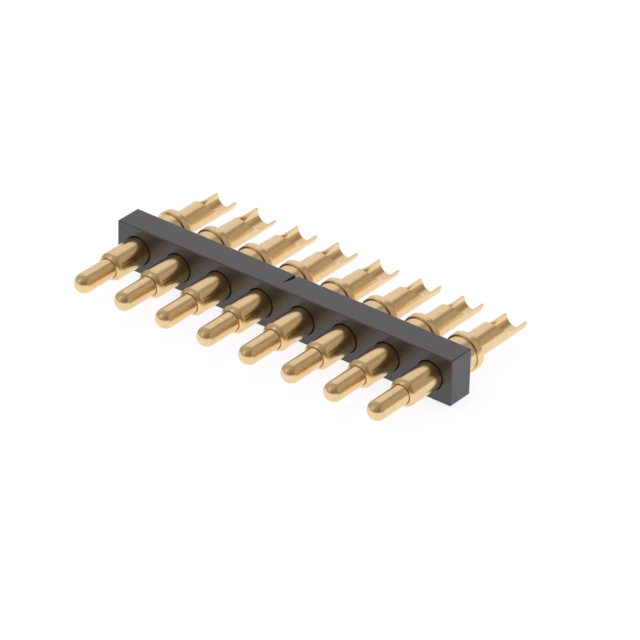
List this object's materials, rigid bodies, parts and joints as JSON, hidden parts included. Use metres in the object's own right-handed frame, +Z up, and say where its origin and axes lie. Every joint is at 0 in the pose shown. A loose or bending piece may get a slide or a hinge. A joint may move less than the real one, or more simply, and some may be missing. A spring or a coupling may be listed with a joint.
{
  "type": "pogo pin strip",
  "caption": "Row of gold-plated spring-loaded contact pins, round-nosed plungers in front and solder cups behind, held in a black moulded insulator bar.",
  "frame": {"origin": "centre of the insulator bar's flat underside", "axes": "+X along the row of contacts, +Y towards the solder cups (plungers point to -Y), +Z up, towards the cups' open side"},
  "size_m": [0.0204, 0.0114, 0.0025],
  "materials": {
    "insulator_plastic": "matte, moulded",
    "barrel_gold": "satin gold plating over turned brass",
    "plunger_gold": "smooth gold plating over turned brass",
    "spring_steel": "drawn wire"
  },
  "bodies": {
    "strip": {"insulator": "insulator_plastic", "barrel_1": "barrel_gold", "barrel_2": "barrel_gold", "barrel_3": "barrel_gold", "barrel_4": "barrel_gold", "barrel_5": "barrel_gold", "barrel_6": "barrel_gold", "barrel_7": "barrel_gold", "barrel_8": "barrel_gold", "spring_1": "spring_steel", "spring_2": "spring_steel", "spring_3": "spring_steel", "spring_4": "spring_steel", "spring_5": "spring_steel", "spring_6": "spring_steel", "spring_7": "spring_steel", "spring_8": "spring_steel"},
    "plunger_1": {"plunger_1": "plunger_gold"},
    "plunger_2": {"plunger_2": "plunger_gold"},
    "plunger_3": {"plunger_3": "plunger_gold"},
    "plunger_4": {"plunger_4": "plunger_gold"},
    "plunger_5": {"plunger_5": "plunger_gold"},
    "plunger_6": {"plunger_6": "plunger_gold"},
    "plunger_7": {"plunger_7": "plunger_gold"},
    "plunger_8": {"plunger_8": "plunger_gold"}
  },
  "joints": [
    {"name": "press_1", "type": "slide", "parent": "strip", "child": "plunger_1", "axis": [0, 1, 0], "range_m": [0, 0.0014], "stiffness_N_per_m": 500, "deforming": ["spring_1"]},
    {"name": "press_2", "type": "slide", "parent": "strip", "child": "plunger_2", "axis": [0, 1, 0], "range_m": [0, 0.0014], "stiffness_N_per_m": 500, "deforming": ["spring_2"]},
    {"name": "press_3", "type": "slide", "parent": "strip", "child": "plunger_3", "axis": [0, 1, 0], "range_m": [0, 0.0014], "stiffness_N_per_m": 500, "deforming": ["spring_3"]},
    {"name": "press_4", "type": "slide", "parent": "strip", "child": "plunger_4", "axis": [0, 1, 0], "range_m": [0, 0.0014], "stiffness_N_per_m": 500, "deforming": ["spring_4"]},
    {"name": "press_5", "type": "slide", "parent": "strip", "child": "plunger_5", "axis": [0, 1, 0], "range_m": [0, 0.0014], "stiffness_N_per_m": 500, "deforming": ["spring_5"]},
    {"name": "press_6", "type": "slide", "parent": "strip", "child": "plunger_6", "axis": [0, 1, 0], "range_m": [0, 0.0014], "stiffness_N_per_m": 500, "deforming": ["spring_6"]},
    {"name": "press_7", "type": "slide", "parent": "strip", "child": "plunger_7", "axis": [0, 1, 0], "range_m": [0, 0.0014], "stiffness_N_per_m": 500, "deforming": ["spring_7"]},
    {"name": "press_8", "type": "slide", "parent": "strip", "child": "plunger_8", "axis": [0, 1, 0], "range_m": [0, 0.0014], "stiffness_N_per_m": 500, "deforming": ["spring_8"]}
  ]
}
